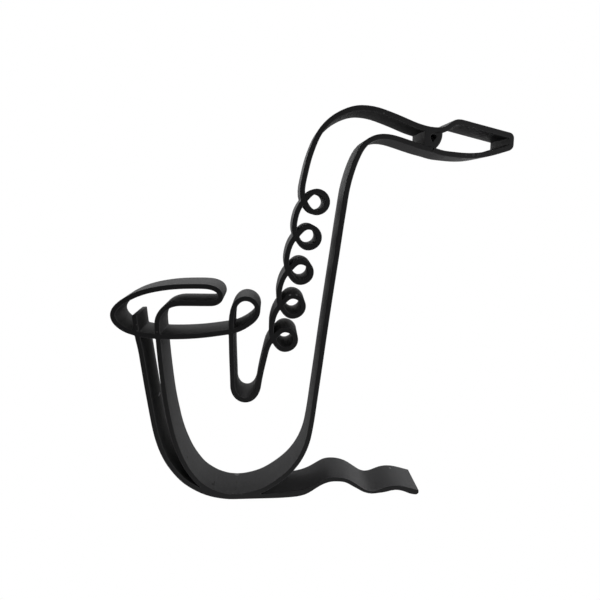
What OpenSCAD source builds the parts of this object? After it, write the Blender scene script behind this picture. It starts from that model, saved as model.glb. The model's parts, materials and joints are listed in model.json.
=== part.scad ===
// Saxophone figure drawn with one flat strip, standing on the bottom of its bow and a waved foot.
// The drawing lies in the XZ plane with +Z up and its front towards -Y. The origin is at the middle
// of the footprint, on the surface that the figure stands on.

/* [Strip] */
// Thickness of the strip
strip_t = 2.4; // [2.2:0.1:2.6]
// Depth of the strip from front to back
depth = 22; // [12:1:40]
// Longest flat along a bend
flat_len = 2.5; // [1:0.5:6]
// Largest turn from one flat to the next
flat_turn = 6; // [3:1:15]
// Width of gap that the plastic closes where two strips part
melt = 0.4; // [0.2:0.1:0.6]

/* [Bell] */
// Furthest left that the bell reaches
bell_x = -90; // [-94:0.2:-88]
// Height of the front rim at its lowest
rim_z = 81.6; // [79:0.2:84]
// Height of the back rim above the front rim
rim_gap = 23.5; // [21:0.5:28]
// Length of the prong above the front rim
prong_h = 9; // [6:0.5:12]

/* [Keys] */
// Radius of a key loop
loop_r = 4.7; // [4.3:0.1:5]
// Place of the top key loop across
loop_x = 3; // [2:0.2:4]
// Height of the top key loop
loop_z = 142.8; // [141:0.2:145]
// Shift from one key loop to the next across
loop_dx = -3.6; // [-3.8:0.1:-3.4]
// Drop from one key loop to the next
loop_dz = 15.8; // [15.4:0.1:16]

/* [Neck] */
// Height of the top of the neck
neck_z = 183.4; // [180:0.2:190]
// Furthest right that the mouthpiece reaches
tip_x = 90; // [88:0.5:96]
// Width of the teardrop hole in the neck ring
tear_w = 2.5; // [1.5:0.1:2.8]

/* [Bow and foot] */
// Height of the inner bow above the ground at its lowest
bow_z = 1.5; // [1.3:0.1:2]
// Height of the first wave of the foot
wave_z = 10.4; // [8:0.2:13]
// Reach of the foot to the right
foot_x = 54.2; // [50:0.2:70]

/* [Hidden] */

finish = "#232325";     // black plastic
half_t = strip_t / 2;
big = 400;              // larger than the whole figure
ring_fn = 48;
tip_fn = 40;

// A track is a list of stations [x, z, heading], the heading in degrees anticlockwise from +X.
// Stations that end one strip and begin the next have a name, so that the two meet face to face.
base_l = -54.5;           // the two bow strips part here on the left
base_r = -22.7;         // and here on the right
bow_low = [-36, bow_z, 0];
elbow_top = [-0.2, 32.5, 79];
tube_top = [15, 138.6, 81];
neck_under = [54.5, 165.6, -14];
neck_over = [56.8, 174.2, 180];
reed_end = [tip_x - 1, 166.6, 17];
beak_end = [tip_x - 1.1, 172.2, 166];
bell_left = [bell_x, rim_z + 10.4, 90];
back_rim_end = [-47.5, rim_z + rim_gap - 0.2, 355];
rim_inner = [-70, rim_z + 0.1, 272];
rim_outer = [-79.5, rim_z + 1.4, 97];
loop_foot = [-36.5, 75, 90];
guard_left = [-36.3, 57.5, 90];
guard_right = [-24.2, 57.5, 261];

// Stations of key loop i, where the strip comes in from above, crosses itself and leaves below
function loop_c(i) = [loop_x + i * loop_dx, loop_z - i * loop_dz];
function cross_at(i) = loop_c(i) + [-1.1 - loop_r, 0.6];
function loop_in(i) = [cross_at(i)[0] - 0.7, cross_at(i)[1] + 2.4, 276];
function loop_out(i) = [cross_at(i)[0] - 1.8, cross_at(i)[1] - 2.4, 238];

foot_top = [
    [base_r, strip_t, 3], [-9.5, 3.1, 4], [0.3, 5.4, 24], [7.6, wave_z - 0.9, 26], [12.3, wave_z, 0],
    [19.9, wave_z - 1.8, 333], [26.2, 4.3, 324], [31, 2.5, 0], [37, 4.3, 20], [42.2, 5.2, 0],
    [foot_x, 2.4, 345]
];
foot_under = [
    [base_r, 0, 0], [-11, 0.2, 3], [-2.2, 1.5, 20], [5, wave_z - 4.6, 30], [12, wave_z - 2.4, 0],
    [19.5, wave_z - 4, 325], [25, 3, 326], [29, 1.3, 345], [36, 1.5, 4], [42.5, 2.7, 0],
    [48.5, 1.1, 335], [foot_x - 1, 0, 0]
];
outer_track = [
    [base_r, half_t, 180], [-37, half_t, 180], [-48, 3, 163], [-58, 8.2, 145], [-66.2, 17.2, 124],
    [-70.8, 26.7, 109], [-73.5, 38, 99], [-75.3, 51.2, 97.5], [-78, 74, 96.5], rim_outer
];
prong_track = [rim_outer, [rim_outer[0] - 0.8, rim_outer[1] + prong_h, 94]];
inner_track = [
    bow_low, [-42, bow_z + 0.8, 164], [-48.5, 5.1, 147], [-54.9, 10.5, 127], [-60.7, 20.2, 113],
    [-65.6, 36.4, 100], [-67.9, 51.4, 96], [-69.3, 67.9, 94], [rim_inner[0], rim_inner[1], 92]
];
elbow_track = [bow_low, [-26.1, 3.2, 17], [-15.1, 9.2, 36], [-6.7, 17.4, 54], [-2.5, 24.9, 68], elbow_top];
tube_track = [elbow_top, [1.8, 44.9, 82.5], [5.4, 71.3, 82.5], [11.7, 115.8, 81.5], tube_top];
neck_lower_track = [
    tube_top, [17.1, 151, 76], [20.5, 161.5, 67], [24.6, 168.3, 44], [32.5, 171.3, 0],
    [40, 169.9, 343], [48.8, 167.1, 343], neck_under
];
neck_upper_track = [
    neck_over, [51, 174.9, 166], [43.1, neck_z - 5.8, 157], [32.3, neck_z - 1.7, 161],
    [22.5, neck_z, 180], [12.8, neck_z - 2.7, 207], [5.3, neck_z - 8.8, 231], [0.6, 165.3, 249],
    [-2.3, 155, 257], loop_in(0)
];
reed_track = [neck_under, [58, 164.6, 344], [64, 163.7, 354], [71.5, 163.2, 0], [79, 163.9, 11], reed_end];
tip_track = [reed_end, [tip_x, 168, 90], [tip_x, 170.8, 90], beak_end];
beak_track = [beak_end, [69.5, 177, 166], [65.5, 177.7, 183], [60.5, 174.9, 205], neck_over];
rim_track = [
    [-36.3, rim_z + 2.2, 188], [-50, rim_z + 0.5, 185], [-62.2, rim_z, 180], [-74.3, rim_z + 0.7, 172],
    [bell_x + 7.4, rim_z + 2.7, 160], [bell_x + 2.3, rim_z + 5.8, 137], bell_left
];
back_rim_track = [
    bell_left, [bell_x + 2.4, rim_z + 14.8, 44], [bell_x + 8.2, rim_z + rim_gap - 4.9, 27],
    [-74.5, rim_z + rim_gap - 2.2, 15], [-66.6, rim_z + rim_gap - 0.7, 8],
    [-55, rim_z + rim_gap, 0], back_rim_end
];
hook_track = [
    back_rim_end, [-40.9, rim_z + 18.7, 270], [-45.5, rim_z + 15.4, 180], [-59.3, rim_z + 15.6, 180],
    [-67.6, rim_z + 12.3, 228], [-70.2, rim_z + 6.4, 268], rim_inner
];
bell_loop_up = [loop_foot, [-36.5, 84, 90], [-35.6, 93.4, 76], [-29.7, 99.2, 0], [-24.1, 93.6, 270]];
bell_loop_back = [[-24.1, 93.6, 270], [-27.4, 88.1, 218], [-36.3, rim_z + 2.2, 193]];

function fold(a) = a - 360 * floor((a + 180) / 360);
function spot(k) = [k[0], k[1]];
function ray(a) = [cos(a), sin(a)];
function heading(v) = atan2(v[1], v[0]);

// Total turn between two stations, measured against the chord that joins them
function turn(p, q) =
    let (a = heading(spot(q) - spot(p)))
    abs(fold(p[2] - a)) + abs(fold(q[2] - a));

// Handle length that makes a bend of that turn as round as an arc
function handle(p, q) = norm(spot(q) - spot(p)) / (3 * pow(cos(turn(p, q) / 4), 2));

function flats(p, q) =
    max(1, ceil(max(norm(spot(q) - spot(p)) / flat_len, turn(p, q) / flat_turn)));

// Point on the bend from p to q at t, moved sideways by off
function bend_at(p, q, t, off) =
    let (
        s = 1 - t,
        h = handle(p, q),
        a = spot(p),
        b = a + h * ray(p[2]),
        d = spot(q),
        c = d - h * ray(q[2]),
        run = s * s * (b - a) + 2 * s * t * (c - b) + t * t * (d - c),
        u = run / norm(run)
    )
    s * s * s * a + 3 * s * s * t * b + 3 * s * t * t * c + t * t * t * d + off * [-u[1], u[0]];

// One long edge of a track, at a sideways distance from its middle
function edge(track, off) = [
    for (i = [0 : len(track) - 2])
        let (p = track[i], q = track[i + 1], n = flats(p, q))
        for (j = [(i == 0 ? 0 : 1) : n])
            bend_at(p, q, j / n, off)
];

function reversed(list) = [for (i = [len(list) - 1 : -1 : 0]) list[i]];

// Flat outline of a strip that follows a track
module strip(track) {
    polygon(concat(edge(track, half_t), reversed(edge(track, -half_t))));
}

// Stands a flat outline up and gives it the depth of the strip
module raise() {
    color(finish)
        rotate([90, 0, 0])
            linear_extrude(depth, center = true)
                children();
}

module left_of(x) {
    translate([x - big, -big / 2])
        square(big);
}

module right_of(x) {
    translate([x, -big / 2])
        square(big);
}

// Waved strip that steadies the figure, thinner under its hollow
module foot() {
    raise()
        polygon(concat(edge(foot_under, 0), [[foot_x, 0.8]], reversed(edge(foot_top, 0))));
}

// Bottom of the bow, where the outer and inner strips run together, flat underneath
module base() {
    raise()
        difference() {
            offset(r = -melt / 2, $fn = tip_fn)
                offset(delta = melt / 2) {
                    strip(outer_track);
                    strip(inner_track);
                    strip(elbow_track);
                }
            left_of(base_l);
            right_of(base_r);
            translate([-big / 2, -big])
                square(big);
        }
}

module outer_bow() {
    raise()
        difference() {
            strip(outer_track);
            right_of(base_l);
            strip(rim_track);
        }
}

module inner_bow() {
    raise()
        difference() {
            strip(inner_track);
            right_of(base_l);
            strip(rim_track);
        }
}

module bow_elbow() {
    raise()
        difference() {
            strip(elbow_track);
            left_of(base_r);
        }
}

module body_tube() {
    raise()
        strip(tube_track);
}

// Front rim, which runs unbroken past the two bow strips
module bell_rim_front() {
    raise()
        difference() {
            strip(rim_track);
            strip(bell_loop_up);
        }
}

module bell_rim_back() {
    raise()
        strip(back_rim_track);
}

module bell_hook() {
    raise()
        difference() {
            strip(hook_track);
            strip(rim_track);
        }
}

// Free end of the outer strip inside the bell
module bell_prong() {
    raise()
        difference() {
            strip(prong_track);
            strip(rim_track);
        }
}

module bell_key_loop() {
    raise()
        union() {
            strip(bell_loop_up);
            strip(bell_loop_back);
        }
}

module guard_left_leg() {
    raise()
        strip([guard_left, loop_foot]);
}

module guard_bend() {
    raise()
        strip([guard_right, [-30.4, 50.5, 180], guard_left]);
}

module guard_right_leg() {
    raise()
        strip([loop_out(4), [-20.8, 72.8, 256], guard_right]);
}

// Loop i of the strip, with the short crossed ends that the rods butt against
module key_loop(i) {
    c = loop_c(i);
    x = cross_at(i);
    right = [c[0] + loop_r, c[1], 90];
    raise()
        union() {
            strip([loop_in(i), [x[0], x[1], 296], [c[0] - 0.3, c[1] - loop_r, 0], right]);
            strip([right, [c[0] - 0.2, c[1] + loop_r, 180], [x[0], x[1], 223], loop_out(i)]);
        }
}

// Bowed strip from key loop i to the next one
module key_rod(i) {
    out = loop_out(i);
    raise()
        strip([out, [out[0] - 2.3, out[1] - 6.6, 259], loop_in(i + 1)]);
}

module neck_upper() {
    raise()
        strip(neck_upper_track);
}

module neck_lower() {
    raise()
        strip(neck_lower_track);
}

// Web between the two neck strips, with a teardrop hole
module neck_ring() {
    tear = [54.6, 171.2];
    r = tear_w / 2;
    raise()
        difference() {
            intersection() {
                polygon([[50.5, 166.6], spot(neck_under), [60, 164.2], [60, 174.6], spot(neck_over), [50.5, 175]]);
                translate([50.7, 172.4])
                    circle(r = 8, $fn = ring_fn);
            }
            strip(neck_upper_track);
            strip(neck_lower_track);
            strip(beak_track);
            strip(reed_track);
            translate(tear)
                circle(r = r, $fn = ring_fn);
            polygon([tear + [-r, 0], tear + [-0.3, -2.3], tear + [r, 0]]);
        }
}

module mouthpiece_beak() {
    raise()
        strip(beak_track);
}

module mouthpiece_tip() {
    raise()
        strip(tip_track);
}

module mouthpiece_reed() {
    raise()
        strip(reed_track);
}

foot();
base();
outer_bow();
inner_bow();
bow_elbow();
body_tube();
bell_rim_front();
bell_rim_back();
bell_hook();
bell_prong();
bell_key_loop();
guard_left_leg();
guard_bend();
guard_right_leg();
key_loop(0);  // key_loop_1
key_loop(1);  // key_loop_2
key_loop(2);  // key_loop_3
key_loop(3);  // key_loop_4
key_loop(4);  // key_loop_5
key_rod(0);  // key_rod_1
key_rod(1);  // key_rod_2
key_rod(2);  // key_rod_3
key_rod(3);  // key_rod_4
neck_upper();
neck_lower();
neck_ring();
mouthpiece_beak();
mouthpiece_tip();
mouthpiece_reed();
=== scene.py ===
import json
import math

import bmesh
import bpy
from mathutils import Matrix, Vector
from mathutils.kdtree import KDTree

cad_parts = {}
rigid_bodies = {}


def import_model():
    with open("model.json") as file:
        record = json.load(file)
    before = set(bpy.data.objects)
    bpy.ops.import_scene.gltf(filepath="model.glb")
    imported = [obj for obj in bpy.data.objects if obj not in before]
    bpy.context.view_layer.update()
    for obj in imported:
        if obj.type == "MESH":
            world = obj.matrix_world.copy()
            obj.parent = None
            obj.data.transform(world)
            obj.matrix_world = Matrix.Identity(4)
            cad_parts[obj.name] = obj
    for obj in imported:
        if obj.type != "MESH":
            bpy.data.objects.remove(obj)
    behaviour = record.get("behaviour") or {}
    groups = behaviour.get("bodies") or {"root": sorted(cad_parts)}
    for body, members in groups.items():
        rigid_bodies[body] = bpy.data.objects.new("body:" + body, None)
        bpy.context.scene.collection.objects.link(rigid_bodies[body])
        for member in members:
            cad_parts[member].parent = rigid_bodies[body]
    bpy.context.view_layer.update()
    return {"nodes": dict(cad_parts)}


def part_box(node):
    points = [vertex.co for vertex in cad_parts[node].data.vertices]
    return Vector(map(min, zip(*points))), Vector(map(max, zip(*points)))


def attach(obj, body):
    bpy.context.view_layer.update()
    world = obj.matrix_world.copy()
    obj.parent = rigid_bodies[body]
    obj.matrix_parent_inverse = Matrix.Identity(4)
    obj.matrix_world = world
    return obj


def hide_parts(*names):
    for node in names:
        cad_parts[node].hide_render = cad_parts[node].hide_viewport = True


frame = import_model()


def selectOnly(piece):
    if bpy.context.mode != "OBJECT":
        bpy.ops.object.mode_set(mode="OBJECT")
    bpy.ops.object.select_all(action="DESELECT")
    piece.select_set(True)
    bpy.context.view_layer.objects.active = piece


def openMesh(piece):
    selectOnly(piece)
    bpy.ops.object.mode_set(mode="EDIT")


def closeMesh():
    bpy.ops.object.mode_set(mode="OBJECT")


def pick(kind, wanted):  # in edit mode: selects the faces, edges or verts that are wanted, and nothing else
    mesh = bpy.context.edit_object.data
    bpy.ops.mesh.select_mode(type=kind)
    bpy.ops.mesh.select_all(action="DESELECT")
    shape = bmesh.from_edit_mesh(mesh)
    shape.normal_update()
    parts = {"FACE": shape.faces, "EDGE": shape.edges, "VERT": shape.verts}[kind]
    found = [part for part in parts if wanted(part)]
    for part in found:
        part.select_set(True)
    shape.select_flush_mode()
    bmesh.update_edit_mesh(mesh)
    return len(found)


def isCap(face):  # the flat front or back of a strip
    return abs(face.normal.y) > 0.99


def isCross(edge):  # an edge that runs from front to back
    run = edge.verts[1].co - edge.verts[0].co
    return abs(run.y) > 0.95 * run.length


def isOutline(edge):  # where a flat front or back meets a wall
    return len(edge.link_faces) == 2 and isCap(edge.link_faces[0]) != isCap(edge.link_faces[1])


def flatSpot(co):
    return Vector((co.x, co.z))


cameraSet = {
    "place": (-0.01774, -0.26673, 0.14312),
    "down": 9.91,  # degrees below the horizon
    "right": 2.93,  # degrees to the right of +Y
    "lens": 33.9,
}
cameraData = bpy.data.cameras.new("camera")
camera = bpy.data.objects.new("camera", cameraData)
bpy.context.scene.collection.objects.link(camera)
camera.location = cameraSet["place"]
camera.rotation_euler = (math.radians(90 - cameraSet["down"]), 0, math.radians(-cameraSet["right"]))
cameraData.lens = cameraSet["lens"]
cameraData.sensor_width = 36
cameraData.clip_start = 0.005
cameraData.clip_end = 50
bpy.context.scene.camera = camera
print("camera set")


class Wire:  # one socket's value in a sum that is written as plain Python
    def __init__(self, tree, socket):
        self.tree = tree
        self.socket = socket

    def math(self, operation, first, second):
        return self.tree.add("ShaderNodeMath", {"operation": operation}, {0: first, 1: second})

    def __add__(self, other):
        return self.math("ADD", self, other)

    def __radd__(self, other):
        return self.math("ADD", other, self)

    def __sub__(self, other):
        return self.math("SUBTRACT", self, other)

    def __rsub__(self, other):
        return self.math("SUBTRACT", other, self)

    def __mul__(self, other):
        return self.math("MULTIPLY", self, other)


class Tree:  # a material's or world's nodes
    def __init__(self, nodeTree):
        self.nodeTree = nodeTree
        self.nodeTree.nodes.clear()

    def node(self, kind, settings=None, sockets=None):
        made = self.nodeTree.nodes.new(kind)
        for name, value in (settings or {}).items():
            setattr(made, name, value)
        for name, value in (sockets or {}).items():
            if isinstance(value, Wire):
                self.nodeTree.links.new(value.socket, made.inputs[name])
            else:
                made.inputs[name].default_value = value
        return made

    def add(self, kind, settings=None, sockets=None, output=0):
        return Wire(self, self.node(kind, settings, sockets).outputs[output])


def smoothMask(tree, value, low, high):  # 0 at low and 1 at high, eased between
    return tree.add("ShaderNodeMapRange", {"interpolation_type": "SMOOTHSTEP"}, {0: value, 1: low, 2: high})


def absolute(tree, value):
    return tree.add("ShaderNodeMath", {"operation": "ABSOLUTE"}, {0: value})


def ridges(tree, across, spacing):  # rounded ridges side by side, one for each spacing
    angle = across * (math.pi / spacing)
    return absolute(tree, tree.add("ShaderNodeMath", {"operation": "SINE"}, {0: angle}))


def noise(tree, place, scale, detail):
    return tree.add("ShaderNodeTexNoise", {"noise_dimensions": "3D"}, {
        "Vector": place, "Scale": scale, "Detail": detail,
    })


def drawnOut(tree, xyz, along, across, detail):  # noise that is fine along Y and wide along X and Z
    x, y, z = xyz
    place = tree.add("ShaderNodeCombineXYZ", sockets={0: x * along, 1: y * across, 2: z * along})
    return noise(tree, place, 1.0, detail)


def blended(tree, factor, first, second):
    mixed = tree.node("ShaderNodeMix", {"data_type": "RGBA"}, {"Factor": factor, "A": first, "B": second})
    return Wire(tree, mixed.outputs["Result"])


plastic = {
    "dark": (0.012, 0.0119, 0.0126, 1),
    "light": (0.038, 0.0377, 0.0404, 1),
    "middle": 0.25,  # share of light in the tone of a plain wall
    "flatDarker": 0.25,  # the flat front and back faces are painted darker than the walls: painted shade
    "edge": (0.085, 0.085, 0.088, 1),  # the rounded edges are painted paler: a painted highlight along them
    "edgeShare": 0.5,
    "edgeGloss": 0.38,
    "layer": 0.0002,  # height of one printed layer, along Y
    "lineWidth": 0.0004,  # width of one printed line on the flat faces
    "roughness": 0.68,
    "layerDepth": 0.000016,
    "lineDepth": 0.00002,
    "grainDepth": 0.00001,
    "streakDepth": 0.00001,
    "seamDepth": 0.0002,
    "markRise": 0.00005,  # pale marks stand out, and dark ones are pits
    "markPit": -0.0003,
    "darkMark": 0.05,  # marks paler than this stand out
    "streaks": (60, 5200),  # how fine along the wall and across it
    "bands": (18, 420),
    "grainScale": 3200.0,
    "patchScale": 90.0,
    "crumbScale": 240.0,
    "crumbPickScale": 61.0,  # where specks of dust gather
    "seamDotScale": 700,
    "speckColour": (0.2, 0.2, 0.2, 1),
    "bumpStrength": 0.6,
    "seamX": -0.0363,  # where the print seam crosses the bottom of the bow
    "marks": [  # what the printer left on the walls, and painted shade in a few pits and a crease: place, half size, and how pale
        ((-0.0738, 0.0048, 0.0487), (0.0020, 0.0028, 0.0006), 0.45),  # chip behind the inner bow
        ((-0.0093, -0.0110, 0.1008), (0.0006, 0.0005, 0.0005), 0.25),  # blobs on the fourth key loop
        ((-0.0061, -0.0110, 0.1009), (0.0006, 0.0005, 0.0005), 0.25),
        ((-0.0066, -0.0085, 0.0926), (0.0026, 0.0009, 0.0008), 0.08),  # ridge inside the same loop
        ((-0.0366, 0.0094, 0.0027), (0.0014, 0.0014, 0.0010), 0.10),  # blob at the back end of the seam
        ((-0.0794, -0.0110, 0.0876), (0.0003, 0.0003, 0.0003), 0.14),  # dust on the front
        ((-0.0793, -0.0110, 0.0847), (0.0003, 0.0003, 0.0003), 0.14),
        ((-0.0703, -0.0110, 0.0841), (0.0003, 0.0003, 0.0003), 0.14),
        ((0.0322, -0.0110, 0.1812), (0.0004, 0.0003, 0.0003), 0.12),
        ((0.0730, -0.0110, 0.1635), (0.0006, 0.0005, 0.0008), 0.07),  # hairs on the mouthpiece's underside
        ((0.0696, -0.0110, 0.1635), (0.0005, 0.0005, 0.0004), 0.06),
        ((0.0751, -0.0110, 0.1637), (0.0002, 0.0005, 0.0010), 0.08),
        ((0.0760, -0.0110, 0.1640), (0.0002, 0.0005, 0.0008), 0.07),
        ((0.0437, 0.0077, 0.0051), (0.0005, 0.0006, 0.0005), 0.20),
        ((-0.0474, -0.0066, 0.0058), (0.0009, 0.0011, 0.0012), 0.0005),  # pits inside the bow, painted near black: painted shade in them
        ((-0.0469, -0.0045, 0.0056), (0.0003, 0.0022, 0.0008), 0.001),
        ((-0.0594, -0.0062, 0.0202), (0.0005, 0.0009, 0.0008), 0.001),
        ((0.0889, 0.0000, 0.1679), (0.0006, 0.0108, 0.0004), 0.001),  # painted shade in the crease inside the mouthpiece's end
    ],
}


def addMarks(tree, place, colour, ragged):  # the colour with the marks in it, and their height
    height = 0
    for centre, halfSize, pale in plastic["marks"]:
        offset = tree.add("ShaderNodeVectorMath", {"operation": "SUBTRACT"}, {0: place, 1: centre})
        scaled = tree.add("ShaderNodeVectorMath", {"operation": "DIVIDE"}, {0: offset, 1: halfSize})
        away = tree.add("ShaderNodeVectorMath", {"operation": "LENGTH"}, {0: scaled}, output=1)
        mark = 1 - smoothMask(tree, away + (ragged - 0.5) * 0.7, 0.7, 1.05)
        # marks darker than darkMark are painted shade in pits and a crease
        colour = blended(tree, mark, colour, (pale, pale, pale * 1.03, 1))
        height = height + mark * plastic["markRise" if pale > plastic["darkMark"] else "markPit"]
    return colour, height


def blackPlastic():
    material = bpy.data.materials.new("blackPrint")
    material.use_nodes = True
    tree = Tree(material.node_tree)
    place = tree.add("ShaderNodeTexCoord", output=3)
    facing = tree.add("ShaderNodeNewGeometry", output=1)
    placeXyz = tree.node("ShaderNodeSeparateXYZ", sockets={0: place})
    x, y, z = (Wire(tree, out) for out in placeXyz.outputs)
    facingXyz = tree.node("ShaderNodeSeparateXYZ", sockets={0: facing})
    towardsFront = absolute(tree, Wire(tree, facingXyz.outputs[1]))  # 0 on a wall and 1 on a flat
    onWall = 1 - smoothMask(tree, towardsFront, 0.3, 0.8)
    onFlat = smoothMask(tree, towardsFront, 0.9, 0.985)
    onEdge = (1 - onFlat) * smoothMask(tree, towardsFront, 0.06, 0.3)

    # layers: rounded ridges that run along the walls, each layer a little different
    ridge = ridges(tree, y, plastic["layer"])
    streak = drawnOut(tree, (x, y, z), *plastic["streaks"], 2.0)
    band = drawnOut(tree, (x, y, z), *plastic["bands"], 1.0)

    # lines on the flat faces that follow the outline
    edgeDistance = tree.add("ShaderNodeAttribute", {"attribute_name": "edgeDistance"}, output=2)
    outlineRidge = ridges(tree, edgeDistance, plastic["lineWidth"])

    # grain, wide patches, and a few pale specks of dust
    grain = noise(tree, place, plastic["grainScale"], 2.0)
    patch = noise(tree, place, plastic["patchScale"], 3.0)
    crumb = tree.add("ShaderNodeTexVoronoi", {"feature": "F1"}, {
        "Vector": place, "Scale": plastic["crumbScale"],
    })
    crumbPick = noise(tree, place, plastic["crumbPickScale"], 1.0)
    speck = (1 - smoothMask(tree, crumb, 0.02, 0.05)) * smoothMask(tree, crumbPick, 0.6, 0.66)

    # print seam inside the bottom of the bow: a row of small blobs from front to back
    seamOff = absolute(tree, x - plastic["seamX"])
    dots = tree.add("ShaderNodeTexNoise", {"noise_dimensions": "1D"}, {
        "W": y * plastic["seamDotScale"], "Scale": 1.0, "Detail": 1.0,
    })
    seam = (1 - smoothMask(tree, seamOff, 0.0002, 0.00045)) * smoothMask(tree, dots, 0.5, 0.6)
    seam = seam * (1 - smoothMask(tree, z, 0.003, 0.004)) * smoothMask(tree, z, 0.001, 0.002) * onWall

    # tone, from the darkest to the lightest plastic, with painted shade on the flat faces; then the specks,
    # the painted highlight on the rounded edges, and the marks, some of them painted shade
    uneven = (patch - 0.5) * 0.25 + (band - 0.5) * 0.2 * onWall + (streak - 0.5) * 0.12 * onWall
    # the flat faces are made darker here: painted shade
    tone = tree.add("ShaderNodeMath", {"operation": "ADD", "use_clamp": True}, {
        0: plastic["middle"] + uneven,
        1: 0.25 - seam * 0.5 - onFlat * plastic["flatDarker"],
    })
    colour = blended(tree, tone, plastic["dark"], plastic["light"])
    colour = blended(tree, speck * 0.7, colour, plastic["speckColour"])
    # painted highlight: the rounded edges are mixed towards a paler colour
    colour = blended(tree, onEdge * plastic["edgeShare"], colour, plastic["edge"])
    marked, markHeight = addMarks(tree, place, colour, grain)
    roughness = plastic["roughness"] + (patch - 0.5) * 0.12 + (streak - 0.5) * 0.14 * onWall + speck * 0.2
    roughness = roughness - onEdge * plastic["edgeGloss"]

    height = ridge * onWall * plastic["layerDepth"] + outlineRidge * (1 - onWall) * plastic["lineDepth"]
    height = height + grain * plastic["grainDepth"] + streak * onWall * plastic["streakDepth"]
    height = height - seam * plastic["seamDepth"] + markHeight
    bump = tree.add("ShaderNodeBump", None, {
        "Strength": plastic["bumpStrength"], "Distance": 1.0, "Height": height,
    })
    shader = tree.node("ShaderNodeBsdfPrincipled", None, {
        "Base Color": marked,
        "Roughness": roughness,
        "Normal": bump,
        "IOR": 1.5,
        "Specular IOR Level": 0.5,
    })
    output = tree.node("ShaderNodeOutputMaterial")
    tree.nodeTree.links.new(shader.outputs[0], output.inputs[0])
    return material


blackPrint = blackPlastic()
print("plastic made")

# The line is rounded as one shell, so that its strips run into each other.
lineSet = {
    "meet": 6e-6,  # points closer than this are one point
    "cornerAngle": 22,  # a wall turns by more than this at a corner
    "cornerRound": 0.0004,
    "seamClear": 0.0013,  # a seam is straight this close to a corner
    "edgeRound": 0.00032,
    "edgeSteps": 3,
    "innerLine": 0.00015,  # narrow ring inside the rounded edge that keeps the faces flat
    "flatTurn": 0.1,  # a CAD strip's triangles that turn by less than this make one face
    "cutReach": 2e-5,  # neighbours this far from a strip's box can still touch it
    "seamFound": 2e-5,  # how far a seam's moved end may be from the point that the rounding made
    "edgeMeet": 3e-5,  # points closer than this after the edges are rounded are one point
    "smoothUnder": 40,  # a turn of less than this is shaded smooth
    "flatWeight": 60,  # how far large faces decide the shading
}
pieceNames = {
    "foot": "wavedFoot",
    "base": "bowBottom",
    "outer_bow": "outerBow",
    "inner_bow": "innerBow",
    "bow_elbow": "bowElbow",
    "body_tube": "bodyTube",
    "bell_rim_front": "bellRimFront",
    "bell_rim_back": "bellRimBack",
    "bell_hook": "bellHook",
    "bell_prong": "bellProng",
    "bell_key_loop": "bellKeyLoop",
    "guard_left_leg": "guardLeftLeg",
    "guard_bend": "guardBend",
    "guard_right_leg": "guardRightLeg",
    "key_loop_1": "keyLoop1",
    "key_loop_2": "keyLoop2",
    "key_loop_3": "keyLoop3",
    "key_loop_4": "keyLoop4",
    "key_loop_5": "keyLoop5",
    "key_rod_1": "keyRod1",
    "key_rod_2": "keyRod2",
    "key_rod_3": "keyRod3",
    "key_rod_4": "keyRod4",
    "neck_upper": "neckUpper",
    "neck_lower": "neckLower",
    "neck_ring": "neckRing",
    "mouthpiece_beak": "mouthpieceBeak",
    "mouthpiece_tip": "mouthpieceTip",
    "mouthpiece_reed": "mouthpieceReed",
}


def copyStrip(nodeName):  # a merged copy of a CAD strip, with whole faces instead of triangles
    mesh = frame["nodes"][nodeName].data.copy()
    mesh.materials.clear()
    mesh.materials.append(bpy.data.materials.new("part:" + nodeName))
    mesh.polygons.foreach_set("material_index", [0] * len(mesh.polygons))
    strip = bpy.data.objects.new("copy:" + nodeName, mesh)
    bpy.context.scene.collection.objects.link(strip)
    selectOnly(strip)
    if mesh.has_custom_normals:
        bpy.ops.mesh.customdata_custom_splitnormals_clear()
    openMesh(strip)
    bpy.ops.mesh.select_all(action="SELECT")
    bpy.ops.mesh.remove_doubles(threshold=1e-6)
    bpy.ops.mesh.select_all(action="SELECT")
    bpy.ops.mesh.dissolve_limited(angle_limit=math.radians(lineSet["flatTurn"]))
    closeMesh()
    return strip


def frontCorners(strip):
    return [flatSpot(v.co) for v in strip.data.vertices if v.co.y < 0]


def wallOver(face, spot):  # true where spot lies inside the long front edge of a wall
    if isCap(face):
        return False
    ends = [flatSpot(v.co) for v in face.verts if v.co.y < 0]
    if len(ends) != 2:
        return False
    run = ends[1] - ends[0]
    along = (spot - ends[0]).dot(run) / run.length
    aside = ((spot - ends[0]) - run * (along / run.length)).length
    meet = lineSet["meet"]
    return aside < meet and meet < along < run.length - meet


def markCorners(strip, spots):  # cuts a wall across where a neighbour's corner touches it
    openMesh(strip)
    cuts = 0
    for spot in spots:
        if pick("FACE", lambda face: wallOver(face, spot)):
            shape = bmesh.from_edit_mesh(strip.data)
            wall = next(face for face in shape.faces if face.select)
            ends = [flatSpot(v.co) for v in wall.verts if v.co.y < 0]
            run = (ends[1] - ends[0]).normalized()
            bpy.ops.mesh.bisect(plane_co=(spot.x, 0, spot.y), plane_no=(run.x, 0, run.y), threshold=1e-8)
            cuts += 1
    closeMesh()
    return cuts


strips = {name: copyStrip(name) for name in pieceNames}
print("strips copied:", len(strips))
reach = Vector((lineSet["cutReach"], 0, lineSet["cutReach"]))
cutCount = 0
for name, strip in strips.items():
    low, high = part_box(name)
    low, high = low - reach, high + reach
    spots = []
    for other, neighbour in strips.items():
        if other != name:
            spots += [s for s in frontCorners(neighbour) if low.x < s.x < high.x and low.z < s.y < high.z]
    cutCount += markCorners(strip, spots)
print("corners marked on neighbours:", cutCount)


def wallCentres():
    found = []
    for name, strip in strips.items():
        for face in strip.data.polygons:
            if abs(face.normal.y) < 0.5:
                found.append((name, face.center.copy(), face.area))
    return found


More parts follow.
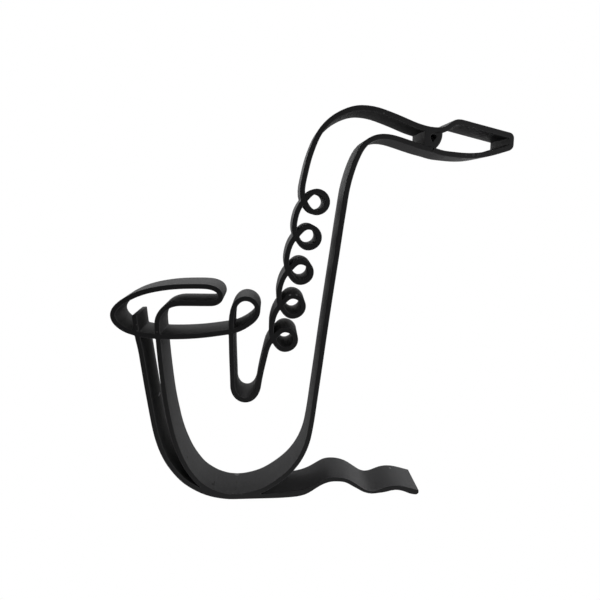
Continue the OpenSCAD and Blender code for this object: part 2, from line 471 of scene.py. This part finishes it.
walls = wallCentres()
wallTree = KDTree(len(walls))
for i, (name, centre, area) in enumerate(walls):
    wallTree.insert(centre, i)
wallTree.balance()


def touches(name, centre, area):  # true where another strip has the same wall, so both are hidden
    for _, i, _ in wallTree.find_range(centre, 2 * lineSet["meet"]):
        if walls[i][0] != name and abs(walls[i][2] - area) < 1e-9 + 0.02 * area:
            return True
    return False


def dropHidden(name, strip):
    openMesh(strip)
    dropped = pick("FACE", lambda face: (
        not isCap(face) and touches(name, face.calc_center_median(), face.calc_area())
    ))
    bpy.ops.mesh.delete(type="ONLY_FACE")
    closeMesh()
    return dropped


print("hidden walls left out:", sum(dropHidden(name, strip) for name, strip in strips.items()))

selectOnly(strips["base"])
for strip in strips.values():
    strip.select_set(True)
bpy.ops.object.join()
line = strips["base"]
line.name = "line"
openMesh(line)
bpy.ops.mesh.select_all(action="SELECT")
bpy.ops.mesh.remove_doubles(threshold=lineSet["meet"])
bpy.ops.mesh.select_all(action="SELECT")
bpy.ops.mesh.delete_loose(use_verts=True, use_edges=True, use_faces=False)
print("open edges in the whole line:", pick("EDGE", lambda edge: len(edge.link_faces) != 2))
closeMesh()


# corners that run from front to back: a small round where strips cross or end, as melted plastic leaves
def isCorner(edge):
    return isCross(edge) and edge.calc_face_angle(0) > math.radians(lineSet["cornerAngle"])


def closeTo(co, distance):
    return any((flatSpot(co) - corner).length < distance for corner in cornerSpots)


def nearCorner(edge):
    if not isCross(edge) or isCorner(edge):
        return False
    return closeTo(edge.verts[0].co, 1.25 * lineSet["cornerRound"])


def isSeam(edge):  # where the flat faces of two strips meet, from wall to wall
    if not all(isCap(face) for face in edge.link_faces):
        return False
    return all(any(isCross(e) for e in vert.link_edges) for vert in edge.verts)


def cornerAt(vert):
    return any(isCorner(edge) for edge in vert.link_edges)


def wallAway(vert, cap):  # the way along a strip's wall from the end of a seam
    for edge in vert.link_edges:
        if isOutline(edge) and cap in edge.link_faces:
            return (edge.other_vert(vert).co - vert.co).normalized()
    return None


def seamMoved(seam):  # a seam's ends, moved along the strip that it cuts off, clear of round corners
    run = (seam.verts[1].co - seam.verts[0].co).normalized()
    choices = []
    for cap in seam.link_faces:
        ways = [wallAway(vert, cap) for vert in seam.verts]
        if None not in ways:
            choices.append((sum(abs(way.dot(run)) for way in ways), ways))
    if not choices:
        return None
    ways = min(choices, key=lambda choice: choice[0])[1]
    return [
        vert.co + way * (lineSet["cornerRound"] if cornerAt(vert) else 0)
        for vert, way in zip(seam.verts, ways)
    ]


def isSeamPoint(vert):  # a point inside a flat face where two strips meet
    if len(vert.link_edges) != 2 or not all(isCap(face) for face in vert.link_faces):
        return False
    return closeTo(vert.co, lineSet["seamClear"])


openMesh(line)
pick("EDGE", isCorner)
shape = bmesh.from_edit_mesh(line.data)
cornerSpots = [flatSpot(edge.verts[0].co) for edge in shape.edges if edge.select]
print("corners:", len(cornerSpots), "flats joined beside them:", pick("EDGE", nearCorner))
bpy.ops.mesh.dissolve_edges(use_verts=True, use_face_split=False)
print("seam points dropped:", pick("VERT", isSeamPoint))
bpy.ops.mesh.dissolve_verts()
movedEnds = []


def isMoving(edge):  # also notes where the seam's ends go
    if not isSeam(edge) or not any(cornerAt(vert) and len(vert.link_edges) == 4 for vert in edge.verts):
        return False
    ends = seamMoved(edge)
    if ends:
        movedEnds.append(ends)
    return bool(ends)


print("seams moved off their corners:", pick("EDGE", isMoving))
bpy.ops.mesh.dissolve_edges(use_verts=False, use_face_split=False)
print("corners rounded:", pick("EDGE", lambda edge: isCorner(edge) and len(edge.verts[0].link_edges) == 3))
bpy.ops.mesh.bevel(
    offset=lineSet["cornerRound"], offset_type="OFFSET", segments=3, affect="EDGES", clamp_overlap=False,
)
shape = bmesh.from_edit_mesh(line.data)
fillet = shape.faces.layers.int.new("fillet")
for face in shape.faces:
    face[fillet] = int(face.select)
bmesh.update_edit_mesh(line.data)
for ends in movedEnds:
    found = pick("VERT", lambda vert: any((vert.co - end).length < lineSet["seamFound"] for end in ends))
    if found == 2:
        bpy.ops.mesh.vert_connect()
    else:
        print("seam not found again:", found, [round(c, 5) for c in ends[0]])


def longestWall(cap, fillet):  # the strip whose walls make most of a flat face's outline
    share = {}
    for edge in cap.edges:
        for face in edge.link_faces:
            if not isCap(face) and not face[fillet]:
                share[face.material_index] = share.get(face.material_index, 0) + edge.calc_length()
    return max(share, key=share.get) if share else cap.material_index


shape = bmesh.from_edit_mesh(line.data)
shape.normal_update()
fillet = shape.faces.layers.int["fillet"]
for face in shape.faces:
    if isCap(face):
        face.material_index = longestWall(face, fillet)
for face in shape.faces:
    if face[fillet]:
        caps = [f for edge in face.edges for f in edge.link_faces if isCap(f)]
        face.material_index = caps[0].material_index
bmesh.update_edit_mesh(line.data)

# the edges of the flat front and back
pick("EDGE", isOutline)
bpy.ops.mesh.bevel(
    offset=lineSet["edgeRound"], offset_type="OFFSET", segments=lineSet["edgeSteps"], affect="EDGES",
    clamp_overlap=False, loop_slide=False,
)
pick("VERT", lambda vert: any(isCap(face) for face in vert.link_faces))
bpy.ops.mesh.remove_doubles(threshold=lineSet["edgeMeet"])
pick("FACE", isCap)
bpy.ops.mesh.inset(thickness=lineSet["innerLine"], use_even_offset=True)
shape = bmesh.from_edit_mesh(line.data)
distance = shape.verts.layers.float.new("edgeDistance")
for face in shape.faces:
    if isCap(face):
        for vert in face.verts:
            vert[distance] = lineSet["edgeRound"]
for face in shape.faces:
    if face.select:
        for vert in face.verts:
            vert[distance] = lineSet["edgeRound"] + lineSet["innerLine"]
bmesh.update_edit_mesh(line.data)
print("open edges after rounding:", pick("EDGE", lambda edge: len(edge.link_faces) != 2))
closeMesh()
selectOnly(line)
bpy.ops.object.shade_smooth_by_angle(angle=math.radians(lineSet["smoothUnder"]))
flatten = line.modifiers.new("flatten", "WEIGHTED_NORMAL")
flatten.keep_sharp = True
flatten.weight = lineSet["flatWeight"]
bpy.ops.object.modifier_apply(modifier=flatten.name)
print("line rounded, faces:", len(line.data.polygons))


def pieceFrom(part):  # closes a strip's ends and stands it in for its CAD node
    nodeName = part.data.materials[part.data.polygons[0].material_index].name.replace("part:", "")
    part.name = pieceNames[nodeName]
    part.data.name = part.name
    openMesh(part)
    pick("EDGE", lambda edge: len(edge.link_faces) == 1)
    bpy.ops.mesh.fill_holes(sides=0)
    openEnds = pick("EDGE", lambda edge: len(edge.link_faces) != 2)
    closeMesh()
    part.data.materials.clear()
    part.data.materials.append(blackPrint)
    part.data.polygons.foreach_set("material_index", [0] * len(part.data.polygons))
    for polygon in part.data.polygons:
        polygon.use_smooth = True
    borrow = part.modifiers.new("borrow", "DATA_TRANSFER")
    borrow.object = whole
    borrow.use_loop_data = True
    borrow.data_types_loops = {"CUSTOM_NORMAL"}
    borrow.loop_mapping = "NEAREST_POLYNOR"
    selectOnly(part)
    bpy.ops.object.modifier_apply(modifier=borrow.name)
    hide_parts(nodeName)
    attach(part, "root")
    return openEnds


selectOnly(line)
bpy.ops.object.duplicate()
whole = bpy.context.view_layer.objects.active
whole.name = "whole"
before = set(bpy.data.objects)
openMesh(line)
bpy.ops.mesh.select_all(action="SELECT")
bpy.ops.mesh.separate(type="MATERIAL")
closeMesh()
parts = [line] + [o for o in bpy.data.objects if o not in before]
print("pieces:", len(parts), "open ends left:", sum(pieceFrom(part) for part in parts))
bpy.data.objects.remove(whole)

# The camera sees a plain white room. What lights the figure is softer: brighter at its sides and above,
# dim behind it, and dark on the camera's side.
floorSet = {
    "size": 8.0,
    "seen": 1.0,  # what the camera sees; the rest is what lights the figure
    "near": 0.5,
    "mid": 0.1,
    "far": 0.2,
    "right": 0.8,
    "nearEnds": (0.03, 0.25),  # distances over which one part fades into the next
    "farStarts": (0.7, 1.6),
    "rightStarts": (0.12, 0.3),
    "sideStarts": (0.12, 0.4),
}
roomSet = {
    "seen": 1.0,
    "topStarts": (0.3, 0.75),  # where parts of the room fade in, as directions from 0 to 1
    "lowEnds": (0.04, 0.3),
    "behindStarts": (0.0, 0.85),
    "sideStarts": (0.1, 0.8),
    "rightFront": (-0.8, -0.1),
    "leftFront": (-0.5, 0.15),
    "top": 0.13,
    "middle": {"behind": 0.03, "right": 1.0, "left": 1.2},
    "low": {"behind": 0.5, "right": 0.1, "left": 0.0},
}
lampSet = {
    "overhead": {"place": (0, 0.10, 0.30), "aim": (0, 0.02, 0.1), "size": (0.24, 0.2), "watts": 0.28},
    "rightSide": {"place": (0.20, 0.12, 0.12), "aim": (0, 0, 0.09), "size": (0.2, 0.2), "watts": 0.25},
    "leftSide": {"place": (-0.20, 0.12, 0.12), "aim": (0, 0, 0.09), "size": (0.2, 0.2), "watts": 0.14},
    "overBell": {"place": (-0.06, 0.11, 0.18), "aim": (-0.06, 0, 0.1), "size": (0.12, 0.08), "watts": 0.03},
    "frontRight": {"place": (0.15, -0.17, 0.23), "aim": (0.08, 0, 0.168), "size": (0.1, 0.1), "watts": 0.05},
    "highRight": {"place": (0.7, 0.35, 0.5), "aim": (0, 0, 0.09), "size": (0.4, 0.4), "watts": 0.1},
}


def makeFloor():
    bpy.ops.object.select_all(action="DESELECT")
    bpy.ops.mesh.primitive_plane_add(size=floorSet["size"], location=(0, 0, 0))
    floor = bpy.context.view_layer.objects.active
    floor.name = "floor"
    material = bpy.data.materials.new("paleFloor")
    material.use_nodes = True
    tree = Tree(material.node_tree)
    xyz = tree.node("ShaderNodeSeparateXYZ", sockets={0: tree.add("ShaderNodeTexCoord", output=3)})
    x, y = Wire(tree, xyz.outputs[0]), Wire(tree, xyz.outputs[1])
    far = smoothMask(tree, y, *floorSet["farStarts"])
    behind = smoothMask(tree, y, *floorSet["nearEnds"])
    right = smoothMask(tree, x, *floorSet["rightStarts"])
    aside = smoothMask(tree, x, *floorSet["sideStarts"]) + smoothMask(tree, 0 - x, *floorSet["sideStarts"])
    near = (1 - behind) * (1 - smoothMask(tree, 0 - y, *floorSet["nearEnds"])) * (1 - aside)
    glow = far * floorSet["far"] + behind * (1 - far) * floorSet["mid"] + near * floorSet["near"]
    glow = glow + right * (1 - behind) * floorSet["right"]
    seen = tree.add("ShaderNodeLightPath", output=0)
    shader = tree.node("ShaderNodeEmission", None, {
        "Color": (1, 1, 1, 1), "Strength": seen * floorSet["seen"] + (1 - seen) * glow,
    })
    output = tree.node("ShaderNodeOutputMaterial")
    tree.nodeTree.links.new(shader.outputs[0], output.inputs[0])
    floor.data.materials.append(material)


def makeRoom():
    world = bpy.data.worlds.new("softRoom")
    bpy.context.scene.world = world
    world.use_nodes = True
    tree = Tree(world.node_tree)
    xyz = tree.node("ShaderNodeSeparateXYZ", sockets={0: tree.add("ShaderNodeTexCoord", output=0)})
    x, y, z = (Wire(tree, out) for out in xyz.outputs)
    top = smoothMask(tree, z, *roomSet["topStarts"])
    low = 1 - smoothMask(tree, z, *roomSet["lowEnds"])
    middle = 1 - top - low
    behind = smoothMask(tree, y, *roomSet["behindStarts"])
    right = smoothMask(tree, x, *roomSet["sideStarts"]) * (1 - behind)
    right = right * smoothMask(tree, y, *roomSet["rightFront"])
    left = smoothMask(tree, 0 - x, *roomSet["sideStarts"]) * (1 - behind)
    left = left * smoothMask(tree, y, *roomSet["leftFront"])
    glow = top * roomSet["top"]
    for band, height in ((middle, roomSet["middle"]), (low, roomSet["low"])):
        glow = glow + band * (behind * height["behind"] + right * height["right"] + left * height["left"])
    seen = tree.add("ShaderNodeLightPath", output=0)
    shader = tree.node("ShaderNodeBackground", None, {
        "Color": (1, 1, 1, 1), "Strength": seen * roomSet["seen"] + (1 - seen) * glow,
    })
    output = tree.node("ShaderNodeOutputWorld")
    tree.nodeTree.links.new(shader.outputs[0], output.inputs[0])


def makeLamp(name):
    lamp = lampSet[name]
    data = bpy.data.lights.new(name, "AREA")
    data.shape = "RECTANGLE"
    data.size, data.size_y = lamp["size"]
    data.energy = lamp["watts"]
    softBox = bpy.data.objects.new(name, data)
    bpy.context.scene.collection.objects.link(softBox)
    softBox.location = lamp["place"]
    towards = Vector(lamp["aim"]) - Vector(lamp["place"])
    softBox.rotation_euler = towards.to_track_quat("-Z", "Y").to_euler()
    softBox.visible_camera = False


makeFloor()
makeRoom()
for lampName in lampSet:
    makeLamp(lampName)
bpy.context.scene.view_settings.view_transform = "Standard"
print("floor and light made")
